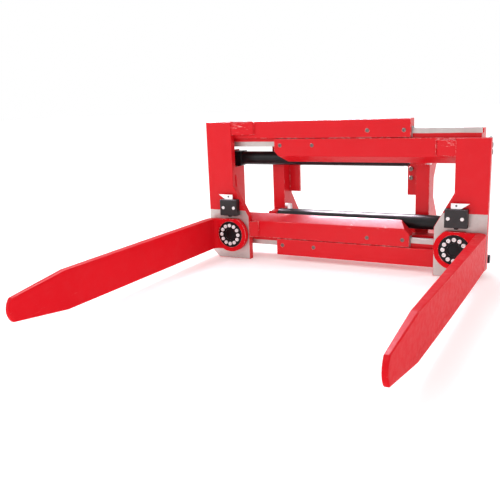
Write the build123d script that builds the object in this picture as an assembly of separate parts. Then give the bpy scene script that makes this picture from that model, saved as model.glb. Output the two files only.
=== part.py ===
"""Sliding-arm fork clamp with two turnable forks, for a class II lift-truck carriage.

Frame: +X to the driver's right as seen from in front, +Y towards the truck, +Z up, in millimetres.
Origin: on the seat plane that lies against the carriage, on the centre line, half way up the
carriage's upper bar. The forks point along -Y.

Each arm has a front pivot plate, a column and two C-beams that ride on the frame's T-rails. The left
arm rides on the upper half of each rail and the right arm on the lower half, so that they pass.
"""
from build123d import *
import math
import os
from dataclasses import dataclass

# ---------------------------------------------------------------- carriage interface
carriage_height = 407.0        # over the two bars of a class II carriage
carriage_bar_height = 76.0
hook_throat = 17.0             # depth of the hook mouth over the carriage bar's tongue
hook_lip = 16.0                # thickness of the lip behind the tongue
hook_lip_depth = 14.0
hook_height = 36.0
hook_width = 104.0
hook_inner_x = 196.0
lower_hook_clearance = 3.0     # under the lower carriage bar
hook_foot_step = 1.0           # of the hook mouth past the crossbar
seat_bar_thickness = 26.0
seat_bar_overlap = 6.0         # how much less than the carriage bar each crossbar covers
lug_width = 16.0
lug_depth = 16.0
lug_height = 24.0
lug_keyway_depth = 8.0         # into the upper crossbar
lug_keyway_drop = 10.0         # below the carriage's top edge
lug_base_width = 50.0

# ---------------------------------------------------------------- frame
frame_depth = 164.0            # from the seat plane to the back of the rails
rail_spacing = 445.0
rail_half_length = 572.0
rail_web_outer = 30.0          # web half height on the side away from the window
rail_web_inner = 40.0          # web half height on the window side
rail_neck_depth = 32.0
rail_neck_half = 12.0
rail_head_depth = 18.0
rail_head_half = 36.0
upright_outer_x = 358.0
upright_width = 56.0
upright_overrun = 17.0         # past the rail's centre line, up and down
upright_waist_depth = 80.0
waist_half_height = 41.0       # straight part of the shallow waist
waist_flare_height = 101.0     # over which each flare runs out to the seat plane
hose_plate_width = 50.0
hose_plate_thickness = 12.0
hose_plate_height = 156.0
hose_plate_back = 89.0         # from the seat plane to the plate's back face
union_spacing = 38.0
union_thread_radius = 5.72
union_thread_depth = 14.0

# ---------------------------------------------------------------- beams
beam_wall = 14.0
beam_face_height = 74.0
beam_split_gap = 1.5           # each side of the rail's centre line
beam_fold_rise = 33.0          # of the sloping wall on the two beams beside the window
fold_cut_start = 56.0          # cut corner at their inner ends: height where it begins
fold_cut_length = 42.0
fold_cut_height = 45.0
beam_outer_reach = 100.0       # outboard of the hub axis
front_pad = 5.7
rear_pad = 1.7
top_pad = 7.7
running_gap = 0.3
lip_clearance = 4.0            # between a beam's rear lip and the rail's neck
bearing_length = 200.0
bearing_proud = 2.5
bearing_screw_inset = 27.0
bearing_screw_spacing = 150.0
bearing_screw_offset = 30.0    # from the rail's centre line
rail_end_pad_length = 110.0

# ---------------------------------------------------------------- arms
hub_half_spacing = 498.0       # hub axis from the centre line, arms closed
hub_drop = 206.5               # hub axis below the middle of the frame
plate_thickness = 30.0
plate_outer = 117.0            # outboard of the hub axis
plate_upper_inner = 10.0       # inboard of the hub axis, upper part
plate_lower_inner = 85.0       # inboard of the hub axis, lower part
plate_bottom = 116.0           # below the hub axis
plate_step_low = 82.0          # where the inner edge starts to slope
plate_step_high = 219.0        # where the slope ends
plate_corner_cut = 40.0
column_outer = 95.0
column_depth = 83.0
column_wall = 12.0
gusset_thickness = 26.0
end_stop_thickness = 8.0
end_knob_radius = 17.0
end_knob_thickness = 13.0
end_knob_height = 31.0         # from the rail's centre line
end_bolt_shares = (0.4, 0.75)  # of the beam's face height

# ---------------------------------------------------------------- cylinders
cylinder_offset = 93.0         # cylinder axis from the rail's centre line
cylinder_back_gap = 4.0        # between barrel and upright
cylinder_front_gap = 4.0       # between barrel and the beams' rear lips
barrel_radius = 30.0
bore_radius = 25.0
barrel_length = 750.0
gland_length = 20.0
rod_radius = 17.5
rod_stud_radius = 12.0
piston_length = 40.0
piston_stud_radius = 10.0
piston_nut_length = 15.0
piston_set_back = 22.0         # from the barrel's closed end to the piston, arms closed
base_block_length = 40.0
base_block_height = 65.0
bracket_thickness = 12.0
bracket_overrun = 38.0         # past the cylinder axis
anchor_inset = 14.0            # from the upright's inner face
anchor_length = 38.0
anchor_near = 40.0             # height on the rail's side of the rod
anchor_far = 20.0
rod_nut_length = 18.0
rod_nut_radius = 19.0

# ---------------------------------------------------------------- pivots
spindle_flange_radius = 59.6
spindle_flange_thickness = 8.0
spindle_recess_radius = 26.0
spindle_recess_depth = 3.0
journal_radius = 52.0
journal_length = 20.0
spigot_radius = 30.0
spigot_length = 14.0
spindle_screw_circle = 42.0
spindle_screw_count = 12
spindle_screw_radius = 5.0
spindle_head_radius = 8.0
spindle_head_height = 10.0
spindle_head_sunk = 4.0
screw_slip = 0.1               # radial, round every screw shank
bush_wall = 4.0
bush_flange_radius = 72.0
bush_clearance = 0.08          # radial running clearance on the journal
axial_gap = 0.2

# ---------------------------------------------------------------- forks
hub_radius = 80.0
hub_flat = 72.0                # height of the flat on top of the hub
hub_thickness = 25.0
blade_height = 139.0
blade_inner = 78.4             # outboard of the hub axis
blade_heel_thickness = 40.0
blade_mid_thickness = 31.5
blade_tip_thickness = 16.0
blade_length = 1220.0          # from the hub's front face to the tip
blade_taper_length = 249.0
blade_nose_length = 17.0
blade_nose_height = 78.0
heel_outer_radius = 36.0
heel_inner_radius = 17.0
blade_edge_round = 4.0

# ---------------------------------------------------------------- latches
lock_width = 86.0
lock_depth = 30.0
lock_height = 73.0
lock_bottom = 87.0             # above the hub axis
lock_centre = 3.0              # outboard of the hub axis
lock_screw_centre = 1.0        # outboard of the hub axis
lock_screw_spacing = 53.0
lock_screw_radius = 4.0
lock_head_radius = 7.0
lock_head_height = 4.0
plunger_radius = 9.0
plunger_reach = 6.5            # below the lock block, latch down
plunger_collar_radius = 12.0
plunger_collar_height = 6.0
plunger_rod_radius = 5.0
plunger_floor = 12.0           # thickness of the block's floor and of its roof
plunger_gap = 0.3
latch_lift = 12.0
pull_plate_width = 70.0
pull_plate_height = 21.5
pull_plate_thickness = 5.0
pull_plate_inner = 17.0        # inboard of the hub axis
pull_plate_foot = 37.0
rivet_radius = 3.5
rivet_drop = 9.0               # below the pull plate's top edge
rod_flat = 3.0                 # from the plunger's axis to the flat that the plate is riveted to
spring_wire = 1.0
spring_turns = 7

# ---------------------------------------------------------------- worked-out places
top_edge = carriage_bar_height / 2
bottom_edge = top_edge - carriage_height
mid_z = (top_edge + bottom_edge) / 2
hub_z = mid_z - hub_drop
rail_z = {"upper": mid_z + rail_spacing / 2, "lower": mid_z - rail_spacing / 2}

rail_back_y = -frame_depth
lip_reach = rail_neck_depth - running_gap - rear_pad - beam_wall   # from the web to a beam's rear lip
rail_web_depth = cylinder_back_gap + 2 * barrel_radius + cylinder_front_gap - lip_reach
web_front_y = rail_back_y - rail_web_depth
head_back_y = web_front_y - rail_neck_depth
head_front_y = head_back_y - rail_head_depth
wall_inside_y = head_front_y - running_gap - front_pad
beam_front_y = wall_inside_y - beam_wall
lip_front_y = head_back_y + running_gap + rear_pad
lip_back_y = lip_front_y + beam_wall
plate_back_y = beam_front_y
plate_front_y = plate_back_y - plate_thickness
column_back_y = plate_back_y + column_depth

roof_inside = rail_head_half + running_gap + top_pad
face_top = beam_split_gap + beam_face_height
fold_top = face_top + beam_fold_rise
lip_end = rail_neck_half + lip_clearance

cylinder_y = rail_back_y - cylinder_back_gap - barrel_radius
upright_inner_x = upright_outer_x - upright_width

journal_front_y = plate_front_y - journal_length
flange_front_y = journal_front_y - spindle_flange_thickness
hub_back_y = plate_front_y - 2.0
hub_front_y = hub_back_y - hub_thickness
bush_radius = journal_radius + bush_clearance + bush_wall

lock_front_y = plate_front_y - lock_depth
plunger_y = plate_front_y - lock_depth / 2
lock_base_z = hub_z + lock_bottom
lock_top_z = lock_base_z + lock_height
cavity_floor_z = lock_base_z + plunger_floor
cavity_roof_z = lock_top_z - plunger_floor
collar_z = cavity_floor_z + plunger_gap


@dataclass
class Arm:
    """What differs between the two arms; side is -1 on the left and +1 on the right."""
    name: str
    side: int
    up: int                    # +1 where the beams ride on the upper half of each rail
    beam_reach: float          # hub axis to the inner end of the beams
    level: str                 # the rail whose cylinder this arm carries
    base_inset: float          # barrel's closed end inboard of the hub axis
    gussets: tuple             # (rail, length, nearer and farther height from its centre line) of each

    def x(self, outboard):
        return self.side * (hub_half_spacing + outboard)

    def cylinder_z(self):
        return rail_z[self.level] - math.copysign(cylinder_offset, rail_z[self.level] - mid_z)


ARMS = (
    Arm("left", -1, +1, 806.0, "upper", 9.0, (("upper", 103.0, 18.0, 71.0), ("lower", 34.0, 3.5, 73.5))),
    Arm("right", +1, -1, 787.0, "lower", 39.0, (("upper", 79.0, 9.0, 70.0),)),
)


# ---------------------------------------------------------------- helpers
def span(a, b):
    return (a + b) / 2, abs(b - a)


def block(x, y, z):
    """A box between two values along each axis, in either order."""
    (cx, dx), (cy, dy), (cz, dz) = span(*x), span(*y), span(*z)
    return Pos(cx, cy, cz) * Box(dx, dy, dz)


def bar(axis, centre, radius, start, end):
    """A round bar along axis "x", "y" or "z"; centre holds the other two coordinates."""
    low, high = min(start, end), max(start, end)
    origin = {"x": (low, *centre), "y": (centre[0], low, centre[1]), "z": (*centre, low)}[axis]
    direction = {"x": (1, 0, 0), "y": (0, 1, 0), "z": (0, 0, 1)}[axis]
    return Solid.make_cylinder(radius, high - low, Plane(origin=origin, z_dir=direction))


def hexagon(axis, centre, across_flats, start, end):
    low, high = min(start, end), max(start, end)
    origin = {"x": (low, *centre), "y": (centre[0], low, centre[1]), "z": (*centre, low)}[axis]
    direction = {"x": (1, 0, 0), "y": (0, 1, 0), "z": (0, 0, 1)}[axis]
    sketch = Plane(origin=origin, z_dir=direction) * RegularPolygon(across_flats / math.sqrt(3), 6)
    return extrude(sketch, amount=high - low)


def prism(axis, points, start, end, rounds=()):
    """Extrude an outline along axis; rounds lists (point index, radius) for its rounded corners."""
    to_3d = {"x": lambda a, b: (start, a, b), "y": lambda a, b: (a, start, b),
             "z": lambda a, b: (a, b, start)}[axis]
    face = make_face(Polyline(*[to_3d(a, b) for a, b in points], close=True))
    for index, radius in rounds:
        target = Vector(*to_3d(*points[index]))
        corner = min(face.vertices(), key=lambda v: (Vector(*v) - target).length)
        face = face.face().fillet_2d(radius, [corner]) if hasattr(face, "face") else face
    direction = {"x": (1, 0, 0), "y": (0, 1, 0), "z": (0, 0, 1)}[axis]
    return extrude(face, amount=abs(end - start),
                   dir=Vector(*direction) * (1 if end > start else -1))


def socket_screw(axis, centre, head_face, sign, head_radius, head_height, shank_radius, length):
    """A socket-head screw; sign is the direction, along axis, from the head's face to its tip."""
    seat = head_face + sign * head_height
    screw = bar(axis, centre, head_radius, head_face, seat)
    screw += bar(axis, centre, shank_radius, seat, seat + sign * length)
    return screw - hexagon(axis, centre, head_radius * 1.05, head_face, head_face + sign * head_height / 2)


def save(name, shape):
    export_step(shape, f"parts/{name}.step")


def group(solids):
    return Compound(children=list(solids))


# ---------------------------------------------------------------- frame
def guide_rail(level):
    """T-rail: head, neck and a deep web, whose taller half faces the window."""
    z = rail_z[level]
    outward = 1 if level == "upper" else -1
    length = (-rail_half_length, rail_half_length)
    rail = block(length, (head_front_y, head_back_y), (z - rail_head_half, z + rail_head_half))
    rail += block(length, (head_back_y, web_front_y), (z - rail_neck_half, z + rail_neck_half))
    rail += block(length, (web_front_y, rail_back_y),
                  (z + outward * rail_web_outer, z - outward * rail_web_inner))
    return rail


def upright(side):
    """Side plate, deep at both rails and shallow at the waist between them."""
    top = rail_z["upper"] + upright_overrun
    bottom = rail_z["lower"] - upright_overrun
    waist_y = rail_back_y + upright_waist_depth
    flare = waist_half_height + waist_flare_height
    outline = [(rail_back_y, bottom), (0, bottom), (0, mid_z - flare), (waist_y, mid_z - waist_half_height),
               (waist_y, mid_z + waist_half_height), (0, mid_z + flare), (0, top), (rail_back_y, top)]
    return prism("x", outline, side * upright_inner_x, side * upright_outer_x)


def crossbar(level):
    """Bar between the uprights that lies flat on one bar of the carriage."""
    cover = carriage_bar_height - seat_bar_overlap
    sign = 1 if level == "upper" else -1
    seat = hook_seat(level)
    bar_solid = block((-upright_inner_x, upright_inner_x), (-seat_bar_thickness, 0),
                      (seat - sign * hook_foot_step, seat - sign * cover))
    for x, radius in hook_bolts(level):
        bar_solid -= bar("z", (x, -seat_bar_thickness / 2), radius + screw_slip,
                         seat - sign * seat_bar_thickness, seat)
    if level == "upper":
        keyway_half = lug_width / 2 + screw_slip
        bar_solid -= block((-keyway_half, keyway_half), (-lug_keyway_depth, 0), (seat - lug_keyway_drop, seat))
    return bar_solid


def hook_seat(level):
    """Height of the face inside the hooks' mouths, over the carriage's upper bar or under its lower."""
    return top_edge if level == "upper" else bottom_edge - lower_hook_clearance


def hook_bolts(level):
    """(x, shank radius) of each screw in one crossbar: two per hook, and two for the lug."""
    bolts = [(side * (hook_inner_x + hook_width * share), 8.0) for side in (-1, 1) for share in (0.25, 0.75)]
    if level == "upper":
        bolts += [(side * (lug_base_width + lug_width) / 4, 4.0) for side in (-1, 1)]
    return bolts


def hook(level, side):
    """L-shaped hook, bolted to a crossbar, whose mouth takes the tongue of the carriage bar."""
    sign = 1 if level == "upper" else -1
    seat = hook_seat(level)
    foot = seat - sign * hook_foot_step
    back = hook_throat + hook_lip
    outline = [(-seat_bar_thickness, foot), (-seat_bar_thickness, seat + sign * hook_height),
               (back, seat + sign * hook_height), (back, seat - sign * hook_lip_depth),
               (hook_throat, seat - sign * hook_lip_depth), (hook_throat, seat), (0, seat), (0, foot)]
    solid = prism("x", outline, side * hook_inner_x, side * (hook_inner_x + hook_width))
    for x, radius in hook_bolts(level)[:4]:
        if x * side > 0:
            centre = (x, -seat_bar_thickness / 2)
            solid -= bar("z", centre, radius + screw_slip, foot, seat + sign * hook_height)
            solid -= bar("z", centre, 12.5, seat + sign * hook_height / 2, seat + sign * hook_height)
    return solid


def centring_lug():
    """Tooth that drops into the notch at the middle of the carriage's upper bar."""
    foot, top = top_edge - hook_foot_step, top_edge + lug_height
    tooth = [(-seat_bar_thickness, foot), (-seat_bar_thickness, top), (lug_depth, top),
             (lug_depth, top_edge - lug_keyway_drop), (-lug_keyway_depth, top_edge - lug_keyway_drop),
             (-lug_keyway_depth, foot)]
    lug = prism("x", tooth, -lug_width / 2, lug_width / 2)
    lug += block((-lug_base_width / 2, lug_base_width / 2), (-seat_bar_thickness, 0), (foot, top))
    for x, radius in hook_bolts("upper")[4:]:
        lug -= bar("z", (x, -seat_bar_thickness / 2), radius + screw_slip, foot, top)
    return lug


def frame_screws():
    y = -seat_bar_thickness / 2
    screws = []
    for level, sign in (("upper", 1), ("lower", -1)):
        for x, radius in hook_bolts(level)[:4]:
            screws.append(socket_screw("z", (x, y), hook_seat(level) + sign * hook_height, -sign, 12.0,
                                       hook_height / 2, radius, hook_height / 2 + seat_bar_thickness - 2))
    for x, radius in hook_bolts("upper")[4:]:
        screws.append(socket_screw("z", (x, y), top_edge + lug_height + 8.0, -1, 6.5, 8.0, radius,
                                   lug_height + seat_bar_thickness - 2))
    return group(screws)


def union_places():
    """Centres, in X and Z, of the two supply unions on the right hose plate."""
    x = upright_inner_x - hose_plate_width * 0.7
    middle = mid_z + 60.0
    return [(x, middle + shift * union_spacing / 2) for shift in (1, -1)]


def hose_plate(side):
    back = -hose_plate_back
    front = back - hose_plate_thickness
    top = mid_z + 123.0
    plate = block((side * (upright_inner_x - hose_plate_width), side * upright_inner_x),
                  (front, back), (top - hose_plate_height, top))
    if side > 0:
        for centre in union_places():
            plate -= bar("y", centre, 8.0 + screw_slip, front, back)
    return plate


def supply_unions():
    """Bulkhead unions: a nut in front, a threaded port for the truck's hose behind."""
    back = -hose_plate_back
    front = back - hose_plate_thickness
    unions = []
    for centre in union_places():
        union = bar("y", centre, 8.0, front - 12.0, back)
        union += hexagon("y", centre, 17.0, front - 8.0, front)
        union += hexagon("y", centre, 19.0, back, back + 20.0)
        union -= bar("y", centre, 3.0, front - 12.0, back + 20.0)
        union -= bar("y", centre, union_thread_radius, back + 20.0 - union_thread_depth, back + 20.0)
        unions.append(union)
    return group(unions)


def rail_end_bearings():
    """Pads at the rail ends, between the head's edge and the roof of the beams that pass there."""
    pads = []
    for arm in ARMS:
        x = (arm.side * (rail_half_length - rail_end_pad_length), arm.side * rail_half_length)
        for z in rail_z.values():
            edge = z + arm.up * rail_head_half
            pads.append(block(x, (head_front_y + 2.0, head_back_y - 2.0),
                              (edge, edge + arm.up * (top_pad - running_gap))))
    return group(pads)


# ---------------------------------------------------------------- beams and bearings
def beam_outline(folded, up, z):
    """Section of a C-beam in (y, z), open towards the rail's centre line."""
    outer_back = fold_top if folded else face_top
    heights = [(beam_front_y, beam_split_gap), (beam_front_y, face_top), (lip_back_y, outer_back),
               (lip_back_y, lip_end), (lip_front_y, lip_end), (lip_front_y, roof_inside),
               (wall_inside_y, roof_inside), (wall_inside_y, beam_split_gap)]
    return [(y, z + up * height) for y, height in heights]


def is_folded(arm, level):
    return (level == "lower") == (arm.up > 0)


def beam(arm, level):
    outline = beam_outline(is_folded(arm, level), arm.up, rail_z[level])
    solid = prism("x", outline, arm.x(-arm.beam_reach), arm.x(beam_outer_reach),
                  rounds=((1, 5.0), (2, 5.0)))
    if is_folded(arm, level):
        end, z = arm.x(-arm.beam_reach), rail_z[level]
        steps = (-0.2, 1.4)
        corner = [(end + arm.side * fold_cut_length * step, z + arm.up * (fold_cut_start + fold_cut_height * step))
                  for step in steps]
        corner.append((corner[0][0], corner[1][1]))
        solid -= prism("y", corner, beam_front_y - 1.0, lip_back_y + 1.0)
    for x in bearing_screw_places(arm):
        centre = (x, rail_z[level] + arm.up * bearing_screw_offset)
        solid -= bar("y", centre, 5.0 + screw_slip, beam_front_y, wall_inside_y)
        solid -= bar("y", centre, 8.2, beam_front_y, beam_front_y + 6.0)
    return solid


def bearing_screw_places(arm):
    end = arm.x(-arm.beam_reach)
    return [end + arm.side * (bearing_screw_inset + step) for step in (0, bearing_screw_spacing)]


def slide_bearings(arm):
    """U-shaped liners at the inner end of both beams, one piece in each."""
    liners = []
    for z in rail_z.values():
        u = [(wall_inside_y, beam_split_gap), (wall_inside_y, roof_inside), (lip_front_y, roof_inside),
             (lip_front_y, lip_end), (lip_front_y - rear_pad, lip_end),
             (lip_front_y - rear_pad, roof_inside - top_pad), (wall_inside_y + front_pad, roof_inside - top_pad),
             (wall_inside_y + front_pad, beam_split_gap)]
        start = arm.x(-arm.beam_reach) - arm.side * bearing_proud
        liner = prism("x", [(y, z + arm.up * h) for y, h in u], start, start + arm.side * bearing_length)
        for x in bearing_screw_places(arm):
            liner -= bar("y", (x, z + arm.up * bearing_screw_offset), 5.0 + screw_slip,
                         wall_inside_y, wall_inside_y + front_pad)
        liners.append(liner)
    return group(liners)


def bearing_screws(arm):
    screws = []
    for z in rail_z.values():
        for x in bearing_screw_places(arm):
            centre = (x, z + arm.up * bearing_screw_offset)
            screws.append(socket_screw("y", centre, beam_front_y - 1.0, 1, 8.0, 7.0, 5.0,
                                       beam_wall + front_pad - 7.5))
    return group(screws)


def end_stops(arm):
    """Plates over the outer ends of the beams, with two bolts above and a round knob below."""
    start = arm.x(beam_outer_reach)
    plate_x = start + arm.side * end_stop_thickness
    middle_y = (beam_front_y + lip_back_y) / 2
    plates = [block((start, plate_x), (beam_front_y + 4.0, lip_back_y - 4.0),
                    (z + arm.up * beam_split_gap, z + arm.up * (face_top - 6.0))) for z in rail_z.values()]
    for share in end_bolt_shares:
        height = rail_z["upper"] + arm.up * (beam_split_gap + beam_face_height * share)
        plates[0] += hexagon("x", (middle_y, height), 17.0, plate_x, plate_x + arm.side * 7.0)
    knob = (middle_y + 10.0, rail_z["lower"] + arm.up * end_knob_height)
    plates[1] += bar("x", knob, end_knob_radius * 0.6, plate_x, plate_x + arm.side * 3.0)
    plates[1] += bar("x", knob, end_knob_radius, plate_x + arm.side * 3.0,
                     plate_x + arm.side * end_knob_thickness)
    return group(plates)


# ---------------------------------------------------------------- arm weldment
def pivot_plate(arm):
    """Front plate with the spindle seat, its tapped screw circle and the lock screws' holes."""
    top = rail_z["upper"] + (face_top if arm.up > 0 else -beam_split_gap)
    low = hub_z - plate_bottom
    outline = [(arm.x(plate_outer), top), (arm.x(-plate_upper_inner), top),
               (arm.x(-plate_upper_inner), hub_z + plate_step_high),
               (arm.x(-plate_lower_inner), hub_z + plate_step_low), (arm.x(-plate_lower_inner), low),
               (arm.x(plate_outer - plate_corner_cut), low), (arm.x(plate_outer), low + plate_corner_cut)]
    plate = prism("y", outline, plate_front_y, plate_back_y)
    plate = chamfer(plate.faces().sort_by(Axis.Y)[0].edges(), 1.5)
    plate -= bar("y", (arm.x(0), hub_z), spigot_radius + screw_slip, plate_front_y,
                 plate_front_y + spigot_length + 1.0)
    for centre in spindle_screw_places(arm):
        plate -= bar("y", centre, spindle_screw_radius + screw_slip, plate_front_y,
                     plate_front_y + 24.0)
    for centre in lock_screw_places(arm):
        plate -= bar("y", centre, lock_screw_radius + screw_slip, plate_front_y, plate_front_y + 20.0)
    return plate


def column_span(arm):
    """The column's height: from one beam's sloping wall to just short of the arm's own cylinder."""
    beam_level = "lower" if arm.up > 0 else "upper"
    return (rail_z[beam_level] + arm.up * face_top,
            arm.cylinder_z() - arm.up * (barrel_radius + 4.0))


def column(arm):
    """Square tube between the beams, with the plate that the cylinder is bolted to."""
    z = column_span(arm)
    x = (arm.x(-plate_upper_inner), arm.x(column_outer))
    tube = block(x, (plate_back_y, column_back_y), z)
    inner_x = (arm.x(-plate_upper_inner + column_wall), arm.x(column_outer - column_wall))
    tube -= block(inner_x, (plate_back_y + column_wall, column_back_y - column_wall), z)
    beam_level = "lower" if arm.up > 0 else "upper"
    tube -= prism("x", beam_outline(True, arm.up, rail_z[beam_level]), *x)
    start = arm.x(-arm.base_inset + base_block_length)
    plate = block((start, start + arm.side * bracket_thickness), (plate_back_y, cylinder_y + barrel_radius),
                  (z[1], arm.cylinder_z() + arm.up * bracket_overrun))
    for centre in base_bolt_places(arm):
        plate -= bar("x", centre, 6.0 + screw_slip, start, start + arm.side * bracket_thickness)
    foot = block((start, start + arm.side * bracket_thickness), (column_back_y, cylinder_y + barrel_radius),
                 (z[1] - arm.up * 30.0, z[1]))
    return tube + plate + foot


def gussets(arm):
    """Wedges that run the pivot plate's edge out onto the beams' faces."""
    wedges = []
    for level, length, near, far_height in arm.gussets:
        edge = arm.x(-plate_lower_inner if level == "lower" else -plate_upper_inner)
        far = edge - arm.side * length
        outline = [(edge, plate_back_y), (edge, plate_back_y - gusset_thickness),
                   (far + arm.side * 6.0, plate_back_y - 6.0), (far, plate_back_y)]
        wedges.append(prism("z", outline, rail_z[level] + arm.up * near, rail_z[level] + arm.up * far_height))
    return group(wedges)


# ---------------------------------------------------------------- cylinders
def base_bolt_places(arm):
    return [(cylinder_y, arm.cylinder_z() + shift) for shift in (-20.0, 20.0)]


def barrel(arm):
    """Tube welded to a square base block, bored from the gland end."""
    z = arm.cylinder_z()
    closed = arm.x(-arm.base_inset)
    base = closed + arm.side * base_block_length
    mouth = closed - arm.side * barrel_length
    solid = block((closed, base), (cylinder_y - barrel_radius, cylinder_y + barrel_radius),
                  (z - base_block_height / 2, z + base_block_height / 2))
    solid += bar("x", (cylinder_y, z), barrel_radius, closed, mouth)
    solid -= bar("x", (cylinder_y, z), bore_radius, closed, mouth)
    for centre in base_bolt_places(arm):
        solid -= bar("x", centre, 6.0 + screw_slip, base, base - arm.side * 22.0)
    return solid


def gland(arm):
    z = arm.cylinder_z()
    mouth = arm.x(-arm.base_inset) - arm.side * barrel_length
    ring = bar("x", (cylinder_y, z), barrel_radius - 1.0, mouth, mouth - arm.side * gland_length)
    ring += bar("x", (cylinder_y, z), bore_radius - 0.05, mouth, mouth + arm.side * 25.0)
    return ring - bar("x", (cylinder_y, z), rod_radius + running_gap, mouth - arm.side * gland_length,
                      mouth + arm.side * 25.0)


def cylinder_bolts(arm):
    head = arm.x(-arm.base_inset + base_block_length + bracket_thickness) + arm.side * 12.0
    return group(socket_screw("x", centre, head, -arm.side, 9.0, 12.0, 6.0, bracket_thickness + 20.0)
                 for centre in base_bolt_places(arm))


def port_fitting(origin, direction, turn):
    """Boss, body and angled union of one hose port, standing on a barrel along direction."""
    plane = Plane(origin=origin, z_dir=direction, x_dir=turn)
    fitting = plane * Pos(0, 0, 4) * Cylinder(11.0, 10.0)
    fitting += plane * Pos(0, 0, 15) * extrude(RegularPolygon(11.5, 6), 6.0, both=True)
    fitting += plane * Pos(0, 0, 16) * Rot(0, 90, 0) * Pos(0, 0, 10) * Cylinder(8.0, 20.0)
    return fitting


def port_fittings(arm):
    """One port near the gland and one at the base, each clear of the rail beside it."""
    z = arm.cylinder_z()
    gland_x = arm.x(-arm.base_inset) - arm.side * (barrel_length - 30.0)
    base_x = arm.x(-arm.base_inset + base_block_length / 2)
    back = (cylinder_y + barrel_radius + 1.5)
    if arm.level == "lower":
        first = port_fitting((gland_x, cylinder_y, z + barrel_radius + 1.5), (0, 0, 1), (-1, 0, 0))
    else:
        first = port_fitting((gland_x, back, z), (0, 1, 0), (-1, 0, 0))
    second = port_fitting((base_x, back, z), (0, 1, 0), (-arm.side, 0, 0))
    return group([first, second])


def rod_span(arm):
    """X of the piston's far face, its rod face, the rod's shoulder and the end of its stud."""
    piston = arm.x(-arm.base_inset) - arm.side * piston_set_back
    rod_face = piston - arm.side * piston_length
    anchor = -arm.side * (upright_inner_x + anchor_inset)
    stud_end = anchor - arm.side * (anchor_length + rod_nut_length + 6.0)
    return piston, rod_face, anchor, stud_end


def cylinder_rods():
    rods = []
    for arm in ARMS:
        piston, rod_face, anchor, stud_end = rod_span(arm)
        centre = (cylinder_y, arm.cylinder_z())
        rod = bar("x", centre, rod_radius, rod_face, anchor)
        rod += bar("x", centre, piston_stud_radius, piston + arm.side * (piston_nut_length + 2.0), rod_face)
        rod += bar("x", centre, rod_stud_radius, anchor, stud_end)
        rods.append(rod)
    return group(rods)


def pistons():
    solids = []
    for arm in ARMS:
        piston, rod_face, _, _ = rod_span(arm)
        centre = (cylinder_y, arm.cylinder_z())
        head = bar("x", centre, bore_radius - running_gap, piston, rod_face)
        for share in (0.3, 0.7):
            groove = piston - arm.side * piston_length * share
            ring = bar("x", centre, bore_radius, groove, groove - arm.side * 4.0)
            head -= ring - bar("x", centre, bore_radius - 3.0, groove, groove - arm.side * 4.0)
        solids.append(head - bar("x", centre, piston_stud_radius, piston, rod_face))
    return group(solids)


def rod_anchors():
    """Blocks on the uprights' front faces that hold the ends of the rods."""
    blocks = []
    for arm in ARMS:
        _, _, anchor, _ = rod_span(arm)
        z = arm.cylinder_z()
        solid = block((anchor, anchor - arm.side * anchor_length), (cylinder_y - barrel_radius, rail_back_y),
                      (z - arm.up * anchor_far, z + arm.up * anchor_near))
        blocks.append(solid - bar("x", (cylinder_y, z), rod_stud_radius + screw_slip, anchor,
                                  anchor - arm.side * anchor_length))
    return group(blocks)


def rod_nuts():
    nuts = []
    for arm in ARMS:
        piston, _, anchor, _ = rod_span(arm)
        centre = (cylinder_y, arm.cylinder_z())
        outer = anchor - arm.side * anchor_length
        nuts.append(hexagon("x", centre, 2 * rod_nut_radius, outer, outer - arm.side * rod_nut_length)
                    - bar("x", centre, rod_stud_radius, outer, outer - arm.side * rod_nut_length))
        nuts.append(hexagon("x", centre, 32.0, piston, piston + arm.side * piston_nut_length)
                    - bar("x", centre, piston_stud_radius, piston, piston + arm.side * piston_nut_length))
    return group(nuts)


# ---------------------------------------------------------------- pivots
def spindle_screw_places(arm):
    step = 2 * math.pi / spindle_screw_count
    return [(arm.x(0) + spindle_screw_circle * math.cos(step * i),
             hub_z + spindle_screw_circle * math.sin(step * i)) for i in range(spindle_screw_count)]


def spindle(arm):
    """Flanged pivot, located by its spigot and held by the screw circle."""
    centre = (arm.x(0), hub_z)
    solid = bar("y", centre, spindle_flange_radius, flange_front_y, journal_front_y)
    solid += bar("y", centre, journal_radius, journal_front_y, plate_front_y)
    solid += bar("y", centre, spigot_radius, plate_front_y, plate_front_y + spigot_length)
    solid = chamfer(solid.faces().sort_by(Axis.Y)[0].edges(), 1.5)
    solid -= bar("y", centre, spindle_recess_radius, flange_front_y, flange_front_y + spindle_recess_depth)
    for place in spindle_screw_places(arm):
        solid -= bar("y", place, spindle_screw_radius + screw_slip, flange_front_y, plate_front_y)
        solid -= bar("y", place, spindle_head_radius + screw_slip, flange_front_y,
                     flange_front_y + spindle_head_sunk)
    return solid


def spindle_screws(arm):
    head = flange_front_y + spindle_head_sunk - spindle_head_height
    length = plate_front_y - flange_front_y - spindle_head_sunk + 22.0
    return group(socket_screw("y", place, head, 1, spindle_head_radius, spindle_head_height,
                              spindle_screw_radius, length) for place in spindle_screw_places(arm))


def pivot_bush(arm):
    """Flanged bronze bush: the sleeve runs on the journal, the flange takes the thrust."""
    centre = (arm.x(0), hub_z)
    front = journal_front_y + running_gap
    solid = bar("y", centre, bush_radius, front, hub_back_y)
    solid += bar("y", centre, bush_flange_radius, hub_back_y, plate_front_y - axial_gap)
    return solid - bar("y", centre, journal_radius + bush_clearance, front, plate_front_y)


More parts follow.
